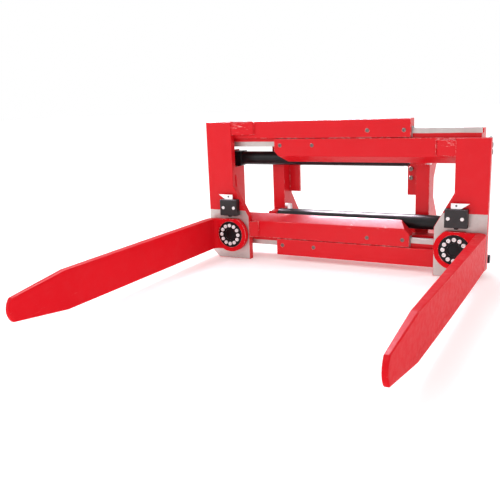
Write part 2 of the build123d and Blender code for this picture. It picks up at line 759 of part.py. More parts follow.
# ---------------------------------------------------------------- forks
def blade_side_outline():
    """Side view of hub edge and blade in (y, z): straight, tapered, then a round nose."""
    half, nose = blade_height / 2, blade_nose_height / 2
    tip = hub_front_y - blade_length
    corner = tip + blade_nose_length
    taper = tip + blade_taper_length
    with BuildSketch(Plane.YZ) as sketch:
        with BuildLine():
            Polyline((corner, -nose), (taper, -half), (hub_back_y, -half), (hub_back_y, half),
                     (taper, half), (corner, nose))
            ThreePointArc((corner, nose), (tip, 0), (corner, -nose))
        make_face()
        shoulders = [v for v in sketch.vertices() if abs(v.Y - corner) < 0.01 or abs(v.Y - taper) < 0.01]
        fillet(shoulders, 14.0)
    return sketch.sketch.moved(Location((0, 0, hub_z)))


def blade_plan(arm):
    """Plan of hub plate and blade; the outer face bows inwards, so that the blade thins to its tip."""
    tip = hub_front_y - blade_length
    outer = blade_inner + blade_heel_thickness
    heel_y = hub_back_y - blade_heel_thickness - 20.0
    corners = [(outer, heel_y), (outer, hub_back_y), (-hub_radius - 1, hub_back_y),
               (-hub_radius - 1, hub_front_y), (blade_inner, hub_front_y), (blade_inner, tip - 1),
               (blade_inner + blade_tip_thickness, tip - 1)]
    corners = [(arm.x(outboard), y) for outboard, y in corners]
    bow = (arm.x(blade_inner + blade_mid_thickness), (heel_y + tip) / 2)
    with BuildSketch() as sketch:
        with BuildLine():
            Polyline(*corners)
            ThreePointArc(corners[-1], bow, corners[0])
        make_face()
        for index, radius in ((1, heel_outer_radius), (4, heel_inner_radius)):
            target = Vector(*corners[index])
            fillet(min(sketch.vertices(), key=lambda v: (Vector(*v) - target).length), radius)
    return sketch.sketch


def fork(arm):
    """One forging: a round hub plate turned forward through the heel into the blade."""
    tip = hub_front_y - blade_length
    outer = blade_inner + blade_heel_thickness
    plate = Pos(0, 0, hub_z - hub_radius - 1) * extrude(blade_plan(arm), amount=2 * hub_radius + 2,
                                                        dir=(0, 0, 1))
    side_view = extrude(blade_side_outline(), amount=(hub_half_spacing + outer + 1) * arm.side)
    disc = bar("y", (arm.x(0), hub_z), hub_radius, hub_front_y, hub_back_y)
    disc -= block((arm.x(-hub_radius), arm.x(hub_radius)), (hub_front_y, hub_back_y),
                  (hub_z + hub_flat, hub_z + hub_radius))
    neck = block((arm.x(0), arm.x(outer + 1)), (hub_back_y, tip - 1),
                 (hub_z - hub_radius, hub_z + hub_radius))
    solid = disc + (plate & side_view & neck)
    edges = [e for e in solid.edges() if e.center().Y < hub_front_y - 60.0 and e.length > 12.0]
    solid = fillet(edges, blade_edge_round)
    centre = (arm.x(0), hub_z)
    solid -= bar("y", centre, bush_radius, hub_front_y, hub_back_y)
    return solid - bar("y", centre, spindle_flange_radius + 0.6, hub_front_y, journal_front_y + running_gap)


# ---------------------------------------------------------------- latches
def lock_screw_places(arm):
    return [(arm.x(lock_screw_centre + shift * lock_screw_spacing / 2), lock_base_z + lock_height / 2)
            for shift in (-1, 1)]


def lock_block(arm):
    """Housing of the spring plunger, bored from below and through its roof."""
    centre = (arm.x(lock_centre), plunger_y)
    x = (arm.x(lock_centre - lock_width / 2), arm.x(lock_centre + lock_width / 2))
    solid = block(x, (lock_front_y, plate_front_y), (lock_base_z, lock_top_z))
    solid = chamfer(solid.faces().sort_by(Axis.Y)[0].edges(), 1.5)
    solid -= bar("z", centre, plunger_radius + plunger_gap, lock_base_z, cavity_floor_z)
    solid -= bar("z", centre, plunger_collar_radius + plunger_gap, cavity_floor_z, cavity_roof_z)
    solid -= bar("z", centre, plunger_rod_radius + plunger_gap, cavity_roof_z, lock_top_z)
    for place in lock_screw_places(arm):
        solid -= bar("y", place, lock_screw_radius + screw_slip, lock_front_y, plate_front_y)
    return solid


def lock_screws(arm):
    return group(socket_screw("y", place, lock_front_y - lock_head_height, 1, lock_head_radius,
                              lock_head_height, lock_screw_radius, lock_depth + 18.0)
                 for place in lock_screw_places(arm))


def latch_plunger(arm):
    centre = (arm.x(lock_centre), plunger_y)
    solid = bar("z", centre, plunger_radius, lock_base_z - plunger_reach, collar_z)
    solid = chamfer(solid.faces().sort_by(Axis.Z)[0].edges(), 2.0)
    solid += bar("z", centre, plunger_collar_radius, collar_z, collar_z + plunger_collar_height)
    solid += bar("z", centre, plunger_rod_radius, collar_z + plunger_collar_height,
                 lock_top_z + pull_plate_height - 4.0)
    solid -= block((arm.x(lock_centre - plunger_radius), arm.x(lock_centre + plunger_radius)),
                   (plunger_y - plunger_radius, plunger_y - rod_flat),
                   (lock_top_z + 1.0, lock_top_z + pull_plate_height))
    rivet = (arm.x(lock_centre), lock_top_z + 1.0 + pull_plate_height - rivet_drop)
    return solid + bar("y", rivet, rivet_radius, plunger_y - rod_flat - pull_plate_thickness - 1.0, plunger_y)


def latch_plate(arm):
    """Pull plate riveted to a flat on the plunger's rod, with a pointed outboard end."""
    low = lock_top_z + 1.0
    top = low + pull_plate_height
    front = plunger_y - rod_flat - pull_plate_thickness
    outline = [(arm.x(-pull_plate_inner), low), (arm.x(-pull_plate_inner), top),
               (arm.x(pull_plate_width - pull_plate_inner), top), (arm.x(pull_plate_foot - pull_plate_inner), low)]
    plate = prism("y", outline, front, front + pull_plate_thickness)
    return plate - bar("y", (arm.x(lock_centre), top - rivet_drop), rivet_radius + screw_slip, front,
                       front + pull_plate_thickness)


def latch_spring(arm):
    """Coil spring between the plunger's collar and the roof of the lock block."""
    start = collar_z + plunger_collar_height + spring_wire
    height = cavity_roof_z - spring_wire - start
    radius = (plunger_collar_radius + plunger_rod_radius) / 2
    path = Helix(pitch=height / spring_turns, height=height, radius=radius)
    profile = Plane(origin=path @ 0, z_dir=path % 0) * Circle(spring_wire)
    return Pos(arm.x(lock_centre), plunger_y, start) * sweep(profile, path=path, is_frenet=True)


# ---------------------------------------------------------------- build
def main():
    os.makedirs("parts", exist_ok=True)
    for level in rail_z:
        save(f"{level}_guide_rail", guide_rail(level))
        save(f"{level}_crossbar", crossbar(level))
        save(f"{level}_hooks", group(hook(level, side) for side in (-1, 1)))
    for arm in ARMS:
        save(f"{arm.name}_upright", upright(arm.side))
    save("centring_lug", centring_lug())
    save("frame_screws", frame_screws())
    save("hose_plates", group(hose_plate(side) for side in (-1, 1)))
    save("supply_unions", supply_unions())
    save("rail_end_bearings", rail_end_bearings())
    save("cylinder_rods", cylinder_rods())
    save("cylinder_pistons", pistons())
    save("rod_anchors", rod_anchors())
    save("rod_nuts", rod_nuts())
    for arm in ARMS:
        save(f"{arm.name}_pivot_plate", pivot_plate(arm))
        save(f"{arm.name}_column", column(arm))
        save(f"{arm.name}_upper_beam", beam(arm, "upper"))
        save(f"{arm.name}_lower_beam", beam(arm, "lower"))
        save(f"{arm.name}_gussets", gussets(arm))
        save(f"{arm.name}_slide_bearings", slide_bearings(arm))
        save(f"{arm.name}_bearing_screws", bearing_screws(arm))
        save(f"{arm.name}_end_stops", end_stops(arm))
        save(f"{arm.name}_barrel", barrel(arm))
        save(f"{arm.name}_gland", gland(arm))
        save(f"{arm.name}_cylinder_bolts", cylinder_bolts(arm))
        save(f"{arm.name}_port_fittings", port_fittings(arm))
        save(f"{arm.name}_spindle", spindle(arm))
        save(f"{arm.name}_spindle_screws", spindle_screws(arm))
        save(f"{arm.name}_lock_block", lock_block(arm))
        save(f"{arm.name}_lock_screws", lock_screws(arm))
        save(f"{arm.name}_fork", fork(arm))
        save(f"{arm.name}_pivot_bush", pivot_bush(arm))
        save(f"{arm.name}_latch_plunger", latch_plunger(arm))
        save(f"{arm.name}_latch_plate", latch_plate(arm))
        save(f"{arm.name}_latch_spring", latch_spring(arm))


main()
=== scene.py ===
"""Finishes and fine detail for the fork clamp: paint, bare steel, weld beads, screw heads, seals and stage.

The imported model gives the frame, in metres: +X to the right as seen from in front, +Y towards the truck,
+Z up. Every piece is made in place, with its object at the origin.
"""
import math

import bmesh
import bpy
from bpy.props import FloatProperty, FloatVectorProperty, IntProperty, PointerProperty
from mathutils import Euler, Matrix, Vector, noise


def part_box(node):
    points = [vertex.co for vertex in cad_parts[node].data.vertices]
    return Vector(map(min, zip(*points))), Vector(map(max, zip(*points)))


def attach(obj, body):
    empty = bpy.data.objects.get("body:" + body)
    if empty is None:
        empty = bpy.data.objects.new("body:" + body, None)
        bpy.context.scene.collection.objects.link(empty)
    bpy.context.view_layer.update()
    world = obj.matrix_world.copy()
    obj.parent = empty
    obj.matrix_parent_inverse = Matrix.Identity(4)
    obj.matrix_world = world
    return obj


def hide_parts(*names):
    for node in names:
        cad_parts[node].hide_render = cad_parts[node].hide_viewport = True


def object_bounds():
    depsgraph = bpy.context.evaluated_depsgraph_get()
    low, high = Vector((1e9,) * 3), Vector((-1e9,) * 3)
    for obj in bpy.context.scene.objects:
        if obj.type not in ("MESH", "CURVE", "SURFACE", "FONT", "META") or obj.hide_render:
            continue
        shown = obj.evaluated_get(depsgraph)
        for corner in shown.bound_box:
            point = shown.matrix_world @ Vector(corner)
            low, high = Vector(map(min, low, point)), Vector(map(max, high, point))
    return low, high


bl_info = {
    "name": "Fork clamp finish",
    "version": (1, 0, 0),
    "blender": (4, 5, 0),
    "location": "View3D > Sidebar > Fork clamp",
    "description": "Paints, welds and screws for a sliding-arm fork clamp, and a plain studio to show it in",
    "category": "Object",
}

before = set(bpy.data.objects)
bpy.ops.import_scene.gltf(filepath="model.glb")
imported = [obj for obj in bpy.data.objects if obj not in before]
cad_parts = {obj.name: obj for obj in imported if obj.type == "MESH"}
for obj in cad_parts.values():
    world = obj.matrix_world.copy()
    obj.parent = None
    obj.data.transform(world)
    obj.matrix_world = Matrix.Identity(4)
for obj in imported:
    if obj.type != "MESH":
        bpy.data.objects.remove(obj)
cad_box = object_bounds()

SIDES = ("left", "right")
FRONT = Vector((0, -1, 0))
ONE_PLACE = 1e-6                # vertices nearer than this are one
SHARP_ANGLE = math.radians(40)  # faces that meet at more than this keep a sharp edge
TUBE_SIDES = 10                 # sides of a weld bead or a seal
RING_STEPS, WELD_STEPS, CAP_STEPS = 48, 72, 64

# x, z and radius of each scraped patch on the arms
SCRAPED = ((0.455, 0.040, 0.060), (-0.455, 0.112, 0.070), (0.06, -0.312, 0.030), (0.20, -0.318, 0.035))
RED_HAZE = (0.72, 0.42, 0.42, 1.0)
RED_SCRAPE = (0.86, 0.30, 0.30, 1.0)
BLACK_HAZE = (0.35, 0.33, 0.32, 1.0)
BLACK_CHIP = (0.25, 0.25, 0.26, 1.0)
RUBBED_METAL = (0.75, 0.74, 0.73, 1.0)
WHITE = (1.0, 1.0, 1.0)

RAIL_PAINT_SHIFT = 0.002        # of the painted middle of each rail, away from the other rail
RAIL_PAINT_HALF = 0.015         # half the height of that painted middle
RAIL_BAND_DEPTH = 0.020         # of the bare running bands, from the rail's front

COLUMN_WELD_INSET = 0.010       # from the hub's axis in to the column's inner weld
COLUMN_WELD_SPACING = 0.105     # between the column's two welds
COLUMN_WELD_STOP = 0.105        # left free at the column's far end
FOLD_TO_SHOULDER = 0.033        # from the folded beam's edge to where its sloping bead starts

# radius and height of the head, and radius of the shank
SPINDLE_SCREW = (0.008, 0.010, 0.005)
LOCK_SCREW = (0.007, 0.004, 0.004)
BEARING_SCREW = (0.008, 0.007, 0.005)
CYLINDER_BOLT = (0.009, 0.012, 0.006)
SCREW_CIRCLE, SCREW_COUNT = 0.042, 12

# radius of the ring, and radius of its section
WIPER_SEAL = (0.0208, 0.0026)
RETAINING_RING = (0.0288, 0.0016)
BASE_WELD = (0.0302, 0.0032)
RING_INSET = 0.006              # of the retaining ring, from the gland's mouth
BASE_LENGTH = 0.040             # from the base weld to the barrel's end

# radius and height of the dust cap's outline, from the middle of its back to its crown
DUST_CAP = ((0.0, 0.0), (0.0256, 0.0), (0.0257, 0.0008), (0.0250, 0.0016), (0.0228, 0.0019), (0.0215, 0.0014),
            (0.0200, 0.0013), (0.0180, 0.0019), (0.0110, 0.0025), (0.0, 0.0028))
CAP_SEAT = 0.003                # depth of the recess that the cap lies in

FLOOR_HALF = 30
FLOOR_GLOW = 0.2
SHEEN_TINT = (1.0, 0.84, 1.0)


# ---------------------------------------------------------------- settings
class PaintSettings(bpy.types.PropertyGroup):
    red: FloatVectorProperty(name="Red enamel", description="Colour of the sprayed enamel", subtype="COLOR",
                             default=(0.66, 0.006, 0.013), min=0, max=1)
    red_deep: FloatVectorProperty(name="Thin enamel", description="Colour where the enamel is thin",
                                  subtype="COLOR", default=(0.58, 0.004, 0.009), min=0, max=1)
    # pale pink laid on the enamel's outer edges: partly chipping through to primer, partly a painted edge
    # highlight
    edge_chips_and_highlight: FloatVectorProperty(name="Chipped and highlit edge", description="Primer that shows along worn edges",
                                 subtype="COLOR", default=(0.84, 0.42, 0.40), min=0, max=1)
    black: FloatVectorProperty(name="Black enamel", description="Colour of the cylinders", subtype="COLOR",
                               default=(0.005, 0.005, 0.006), min=0, max=1)
    steel: FloatVectorProperty(name="Bare steel", description="Ground and unpainted steel", subtype="COLOR",
                               default=(0.62, 0.57, 0.55), min=0, max=1)
    zinc: FloatVectorProperty(name="Zinc plate", description="Plated screws and fittings", subtype="COLOR",
                              default=(0.94, 0.94, 0.95), min=0, max=1)
    liner: FloatVectorProperty(name="Liner nylon", description="Slide liners", subtype="COLOR",
                               default=(0.36, 0.36, 0.37), min=0, max=1)
    gloss: FloatProperty(name="Enamel roughness", description="Roughness of the enamel", default=0.34,
                         min=0, max=1, subtype="FACTOR")
    edge_width: FloatProperty(name="Edge softness", description="Radius that broken edges appear to have",
                              default=0.0022, min=0, max=0.01, unit="LENGTH")
    masking_height: FloatVectorProperty(name="Masking lines", size=2,
                                        description="Height of the paint's lower edge on each pivot plate",
                                        default=(-0.264, -0.232), unit="LENGTH")


class WeldSettings(bpy.types.PropertyGroup):
    leg: FloatProperty(name="Leg", description="Leg of the fillet welds", default=0.006, min=0.002, max=0.02,
                       unit="LENGTH")
    pitch: FloatProperty(name="Ripple pitch", description="Distance between ripples", default=0.0042,
                         min=0.001, max=0.02, unit="LENGTH")
    ripple: FloatProperty(name="Ripple depth", description="Share of the leg by which ripples sink",
                          default=0.16, min=0, max=0.5, subtype="FACTOR")


class ScrewSettings(bpy.types.PropertyGroup):
    segments: IntProperty(name="Segments", description="Sides of a screw head, a multiple of six", default=24,
                          min=12, max=72, step=6)
    socket: FloatProperty(name="Socket", description="Socket width over head diameter", default=0.52,
                          min=0.3, max=0.7, subtype="FACTOR")
    crown: FloatProperty(name="Crown", description="Radius round the head's top edge over its own radius",
                         default=0.16, min=0.02, max=0.4, subtype="FACTOR")


class StageSettings(bpy.types.PropertyGroup):
    camera_place: FloatVectorProperty(name="Camera", description="Where the camera stands", unit="LENGTH",
                                      subtype="TRANSLATION", default=(0.9638, -2.8644, 0.2268))
    camera_turn: FloatVectorProperty(name="Camera turn", description="Tilt, roll and heading of the camera",
                                     subtype="EULER", default=(math.radians(76.942), math.radians(-2.224),
                                                               math.radians(28.377)))
    lens: FloatProperty(name="Lens", description="Focal length in millimetres", default=46.71, min=10,
                        max=200)
    floor: FloatVectorProperty(name="Floor", description="Colour of the floor", subtype="COLOR",
                               default=(0.97, 0.97, 0.97), min=0, max=1)
    sky: FloatProperty(name="Surround", description="Strength of the white surround", default=1.0, min=0,
                       max=5)
    key: FloatProperty(name="Key light", description="Power of the main soft box", default=20, min=0,
                       max=2000, unit="POWER")
    top: FloatProperty(name="Top light", description="Power of the overhead soft box", default=25, min=0,
                       max=2000, unit="POWER")
    sheen: FloatProperty(name="Sheen light", description="Power of the strip that shows only in reflections",
                         default=900, min=0, max=5000, unit="POWER")


# ---------------------------------------------------------------- shader building
def add(tree, kind, inputs=(), **settings):
    """Put a shader node in tree; sockets among the inputs are linked, and other values are set."""
    node = tree.nodes.new("ShaderNode" + kind)
    for name, value in settings.items():
        setattr(node, name, value)
    for key, value in dict(inputs).items():
        if isinstance(value, bpy.types.NodeSocket):
            tree.links.new(value, node.inputs[key])
        else:
            node.inputs[key].default_value = value
    return node


def calc(tree, operation, *values, clamp=False):
    """Arithmetic on sockets and numbers."""
    return add(tree, "Math", dict(enumerate(values)), operation=operation, use_clamp=clamp).outputs[0]


def mix(tree, factor, first, second):
    """Blend from the first colour to the second."""
    return add(tree, "Mix", {0: factor, 6: first, 7: second}, data_type="RGBA").outputs[2]


def remap(tree, value, low, high, to_low=0.0, to_high=1.0, smooth=True):
    """Carry low to high over to to_low to to_high, with soft ends unless asked otherwise."""
    kind = "SMOOTHSTEP" if smooth else "LINEAR"
    return add(tree, "MapRange", {0: value, 1: low, 2: high, 3: to_low, 4: to_high},
               interpolation_type=kind).outputs[0]


def texture(tree, scale, detail=4.0, roughness=0.55, stretch=None):
    """Noise on Object coordinates, stretched along an axis if asked."""
    place = add(tree, "TexCoord").outputs["Object"]
    if stretch:
        place = add(tree, "Mapping", {"Vector": place, "Scale": stretch}).outputs[0]
    return add(tree, "TexNoise", {"Vector": place, "Scale": scale, "Detail": detail,
                                  "Roughness": roughness}).outputs[0]


def start_group(name, inputs, outputs):
    """A new node group with its named sockets: the tree, what comes in and what goes out."""
    tree = bpy.data.node_groups.new(name, "ShaderNodeTree")
    for label, kind, default in inputs:
        socket = tree.interface.new_socket(label, in_out="INPUT", socket_type="NodeSocket" + kind)
        socket.default_value = default
    for label, kind in outputs:
        tree.interface.new_socket(label, in_out="OUTPUT", socket_type="NodeSocket" + kind)
    return tree, tree.nodes.new("NodeGroupInput").outputs, tree.nodes.new("NodeGroupOutput").inputs


def edge_wear_and_highlight_group():
    """Mask along outer edges, in patches: where a finish has worn or rubbed through, and, on the red enamel,
    where a painted edge highlight lies.
    """
    tree, given, out = start_group("Edge wear and highlight", [("Width", "Float", 0.003), ("Wear", "Float", 0.5),
                                                 ("Grain", "Float", 60.0)], [("Mask", "Float")])
    soft = add(tree, "Bevel", {"Radius": given["Width"]}, samples=6).outputs[0]
    true = add(tree, "NewGeometry").outputs["True Normal"]
    turn = calc(tree, "SUBTRACT", 1.0, add(tree, "VectorMath", {0: soft, 1: true},
                                           operation="DOT_PRODUCT").outputs["Value"])
    place = add(tree, "TexCoord").outputs["Object"]
    grain = add(tree, "TexNoise", {"Vector": place, "Scale": given["Grain"], "Detail": 5.0,
                                   "Roughness": 0.7}).outputs[0]
    broad = add(tree, "TexNoise", {"Vector": place, "Scale": 7.0, "Detail": 2.0}).outputs[0]
    patchy = calc(tree, "MULTIPLY", remap(tree, grain, 0.42, 0.62), remap(tree, broad, 0.35, 0.65, 0.2, 1.0))
    worn = calc(tree, "MULTIPLY", calc(tree, "MULTIPLY", turn, given["Wear"]), patchy)
    tree.links.new(remap(tree, worn, 0.02, 0.10), out["Mask"])
    return tree


def enamel_group():
    """Unevenness of a sprayed coat: cloudy thickness, gloss and a fine orange-peel height."""
    tree, given, out = start_group("Sprayed coat", [("Cloud", "Float", 5.0), ("Peel", "Float", 900.0)],
                                   [("Thin", "Float"), ("Dull", "Float"), ("Height", "Float")])
    place = add(tree, "TexCoord").outputs["Object"]
    cloud = add(tree, "TexNoise", {"Vector": place, "Scale": given["Cloud"], "Detail": 6.0,
                                   "Roughness": 0.6}).outputs[0]
    peel = add(tree, "TexNoise", {"Vector": place, "Scale": given["Peel"], "Detail": 1.0}).outputs[0]
    swell = add(tree, "TexNoise", {"Vector": place, "Scale": 60.0, "Detail": 2.0}).outputs[0]
    tree.links.new(remap(tree, cloud, 0.35, 0.75), out["Thin"])
    tree.links.new(remap(tree, swell, 0.3, 0.75), out["Dull"])
    tree.links.new(calc(tree, "MULTIPLY_ADD", swell, 0.8, calc(tree, "MULTIPLY", peel, 0.35)), out["Height"])
    return tree


def machining_group():
    """Fine parallel cutter marks along one axis, set by Stretch, with a tone and a height."""
    tree, given, out = start_group("Cutter marks", [("Stretch", "Vector", (1.0, 1.0, 30.0)),
                                                    ("Scale", "Float", 60.0)],
                                   [("Tone", "Float"), ("Height", "Float")])
    place = add(tree, "TexCoord").outputs["Object"]
    turned = add(tree, "Mapping", {"Vector": place, "Scale": given["Stretch"]}).outputs[0]
    marks = add(tree, "TexNoise", {"Vector": turned, "Scale": given["Scale"], "Detail": 6.0,
                                   "Roughness": 0.75}).outputs[0]
    stain = add(tree, "TexNoise", {"Vector": place, "Scale": 14.0, "Detail": 5.0,
                                   "Roughness": 0.6}).outputs[0]
    tree.links.new(calc(tree, "MULTIPLY_ADD", remap(tree, marks, 0.3, 0.7), 0.5,
                        calc(tree, "MULTIPLY", remap(tree, stain, 0.3, 0.7), 0.5)), out["Tone"])
    tree.links.new(marks, out["Height"])
    return tree


def dust_group():
    """Mask of dust and dull haze, heaviest on faces that look up while the part is at rest."""
    tree, given, out = start_group("Yard dust", [("Amount", "Float", 0.3)], [("Mask", "Float")])
    up = add(tree, "SeparateXYZ", {0: add(tree, "TexCoord").outputs["Normal"]}).outputs["Z"]
    lie = remap(tree, up, -0.1, 1.0, 0.12, 1.0, smooth=False)
    cloud = texture(tree, 22.0, 6.0, 0.7)
    tree.links.new(calc(tree, "MULTIPLY", calc(tree, "MULTIPLY", lie, remap(tree, cloud, 0.4, 0.75)),
                        given["Amount"], clamp=True), out["Mask"])
    return tree


GROUP_MAKERS = {"Edge wear and highlight": edge_wear_and_highlight_group, "Sprayed coat": enamel_group, "Cutter marks": machining_group,
                "Yard dust": dust_group}


def place_group(tree, name, **values):
    """Put a shared group in tree, making it on its first use."""
    node = tree.nodes.new("ShaderNodeGroup")
    node.node_tree = bpy.data.node_groups.get(name) or GROUP_MAKERS[name]()
    for label, value in values.items():
        node.inputs[label].default_value = value
    return node.outputs


def start_material(name):
    """A new material with its node tree and its Principled shader."""
    material = bpy.data.materials.new(name)
    material.use_nodes = True
    tree = material.node_tree
    return material, tree, tree.nodes["Principled BSDF"]


def feed(tree, shader, **values):
    """Link or set sockets of a shader; the words of a socket's name are joined by underscores."""
    for label, value in values.items():
        socket = shader.inputs[label.replace("_", " ")]
        if isinstance(value, bpy.types.NodeSocket):
            tree.links.new(value, socket)
        else:
            socket.default_value = value


def bump(tree, height, distance, strength=1.0, soft_edge=None):
    """A bump from a height, over normals that are rounded along edges if soft_edge is given."""
    inputs = {"Height": height, "Distance": distance, "Strength": strength}
    if soft_edge:
        inputs["Normal"] = add(tree, "Bevel", {"Radius": soft_edge}, samples=6).outputs[0]
    return add(tree, "Bump", inputs).outputs[0]


def rgba(colour):
    return (*colour, 1.0)


# ---------------------------------------------------------------- masks of unpainted steel
def object_axis(tree, axis):
    """One of the Object coordinates."""
    return add(tree, "SeparateXYZ", {0: add(tree, "TexCoord").outputs["Object"]}).outputs[axis]


def below_line(tree, height):
    """1 on faces that look forward and lie below a masking line, with a slightly ragged edge."""
    ragged = calc(tree, "MULTIPLY_ADD", texture(tree, 90.0, 3.0), 0.003, object_axis(tree, "Z"))
    below = remap(tree, ragged, height + 0.0009, height + 0.0021, 1.0, 0.0)
    facing = add(tree, "SeparateXYZ", {0: add(tree, "NewGeometry").outputs["True Normal"]}).outputs["Y"]
    return calc(tree, "MULTIPLY", below, remap(tree, facing, -0.9, -0.7, 1.0, 0.0))


def rail_bands(tree, middle, low, back):
    """1 on the running bands of a rail's head, above and below its painted middle."""
    off = calc(tree, "ABSOLUTE", calc(tree, "SUBTRACT", object_axis(tree, "Z"), middle))
    ragged = calc(tree, "MULTIPLY_ADD", texture(tree, 70.0, 3.0, stretch=(0.15, 1, 1)), 0.004, off)
    band = remap(tree, ragged, low + 0.001, low + 0.003)
    return calc(tree, "MULTIPLY", band, remap(tree, object_axis(tree, "Y"), back, back + 0.001, 1.0, 0.0))


# ---------------------------------------------------------------- materials
def scuffs(tree, places):
    """Clusters of scrapes, mostly level, round each (x, z, radius)."""
    lines = remap(tree, texture(tree, 60.0, 6.0, 0.75, stretch=(0.5, 1.0, 2.2)), 0.56, 0.64)
    total = None
    for x, z, radius in places:
        off_x = calc(tree, "SUBTRACT", object_axis(tree, "X"), x)
        off_z = calc(tree, "MULTIPLY", calc(tree, "SUBTRACT", object_axis(tree, "Z"), z), 2.2)
        away = calc(tree, "SQRT", calc(tree, "ADD", calc(tree, "MULTIPLY", off_x, off_x),
                                       calc(tree, "MULTIPLY", off_z, off_z)))
        patch = calc(tree, "MULTIPLY", remap(tree, away, radius * 0.35, radius, 1.0, 0.0), lines)
        total = calc(tree, "MAXIMUM", total, patch) if total else patch
    return total


def enamel(name, paint, bare=None, wear=0.5, stretch=(1.0, 1.0, 30.0), scraped=()):
    """Red enamel with pale edges, partly chipping and partly a painted edge highlight; bare(tree) may give
    the mask of ground, unpainted steel.
    """
    material, tree, shader = start_material(name)
    coat = place_group(tree, "Sprayed coat")
    pale_edges = place_group(tree, "Edge wear and highlight", Width=0.005, Wear=wear)["Mask"]
    haze = place_group(tree, "Yard dust", Amount=0.05)["Mask"]
    colour = mix(tree, calc(tree, "MULTIPLY", coat["Thin"], 0.35), rgba(paint.red), rgba(paint.red_deep))
    # pale edges: partly chipping, partly a painted edge highlight
    colour = mix(tree, calc(tree, "MULTIPLY", pale_edges, 0.8), colour, rgba(paint.edge_chips_and_highlight))
    if scraped:
        colour = mix(tree, calc(tree, "MULTIPLY", scuffs(tree, scraped), 0.85), colour, rgba(paint.edge_chips_and_highlight))
    colour = mix(tree, haze, colour, RED_HAZE)
    rough = calc(tree, "ADD", calc(tree, "MULTIPLY_ADD", coat["Dull"], 0.10, paint.gloss),
                 calc(tree, "MULTIPLY", haze, 0.25))
    height, metallic = coat["Height"], None
    film = calc(tree, "SUBTRACT", 0.25, calc(tree, "MULTIPLY", haze, 0.2))
    if bare:
        mask = bare(tree)
        marks = place_group(tree, "Cutter marks", Stretch=stretch)
        steel = mix(tree, marks["Tone"], rgba([c * 0.72 for c in paint.steel]), rgba(paint.steel))
        colour = mix(tree, mask, colour, steel)
        rough = calc(tree, "ADD", calc(tree, "MULTIPLY", rough, calc(tree, "SUBTRACT", 1.0, mask)),
                     calc(tree, "MULTIPLY", mask, calc(tree, "MULTIPLY_ADD", marks["Tone"], -0.12, 0.5)))
        height = calc(tree, "SUBTRACT", height, calc(tree, "MULTIPLY", mask, 0.6))
        metallic = calc(tree, "MULTIPLY", mask, 0.85)
        film = calc(tree, "MULTIPLY", film, calc(tree, "SUBTRACT", 1.0, mask))
    feed(tree, shader, Base_Color=colour, Roughness=rough, Coat_Weight=film, Coat_Roughness=0.12,
         Specular_IOR_Level=0.10, Normal=bump(tree, height, 0.00035, 0.6, paint.edge_width))
    if metallic:
        feed(tree, shader, Metallic=metallic)
    return material


def fork_enamel(paint, tip):
    """Enamel of the forks: rubbed on the faces that grip, and scraped towards the tip."""
    material, tree, shader = start_material("Red enamel, forks")
    coat = place_group(tree, "Sprayed coat")
    pale_edges = place_group(tree, "Edge wear and highlight", Width=0.005, Wear=0.9, Grain=45.0)["Mask"]
    haze = place_group(tree, "Yard dust", Amount=0.06)["Mask"]
    near_tip = remap(tree, object_axis(tree, "Y"), tip, tip + 0.5, 1.0, 0.0)
    scratch = remap(tree, texture(tree, 45.0, 6.0, 0.75, stretch=(4.0, 0.22, 6.0)), 0.62, 0.70)
    scrapes = calc(tree, "MULTIPLY", scratch, calc(tree, "MULTIPLY_ADD", near_tip, 0.35, 0.02))
    colour = mix(tree, calc(tree, "MULTIPLY", coat["Thin"], 0.3), rgba(paint.red), rgba(paint.red_deep))
    # pale edges: partly chipping, partly a painted edge highlight
    colour = mix(tree, calc(tree, "MULTIPLY", pale_edges, 0.75), colour, rgba(paint.edge_chips_and_highlight))
    colour = mix(tree, calc(tree, "MULTIPLY", scrapes, 0.6), colour, RED_SCRAPE)
    colour = mix(tree, haze, colour, RED_HAZE)
    rough = calc(tree, "ADD", calc(tree, "MULTIPLY_ADD", coat["Dull"], 0.12, paint.gloss),
                 calc(tree, "MULTIPLY", scrapes, 0.25))
    film = calc(tree, "SUBTRACT", 0.03, calc(tree, "MULTIPLY", haze, 0.03))
    feed(tree, shader, Base_Color=colour, Roughness=rough, Coat_Roughness=0.14, Coat_Weight=film,
         Specular_IOR_Level=0.02, Normal=bump(tree, coat["Height"], 0.0003, 0.3, paint.edge_width))
    return material


def metal(name, colour, rough, marks=(1.0, 1.0, 30.0), spread=0.12, stain=0.25, shine=1.0):
    """Machined, plated or drawn metal with cutter marks and a little tarnish."""
    material, tree, shader = start_material(name)
    cuts = place_group(tree, "Cutter marks", Stretch=marks)
    worn = place_group(tree, "Edge wear and highlight", Width=0.002, Wear=0.6, Grain=120.0)["Mask"]
    dull = rgba([c * (1.0 - stain) for c in colour])
    tone = mix(tree, cuts["Tone"], dull, rgba(colour))
    tone = mix(tree, calc(tree, "MULTIPLY", worn, 0.35), tone, RUBBED_METAL)
    feed(tree, shader, Base_Color=tone, Metallic=shine,
         Roughness=calc(tree, "MULTIPLY_ADD", cuts["Tone"], -spread, rough + spread / 2),
         Normal=bump(tree, cuts["Height"], 0.00012, 0.5, 0.0012))
    return material


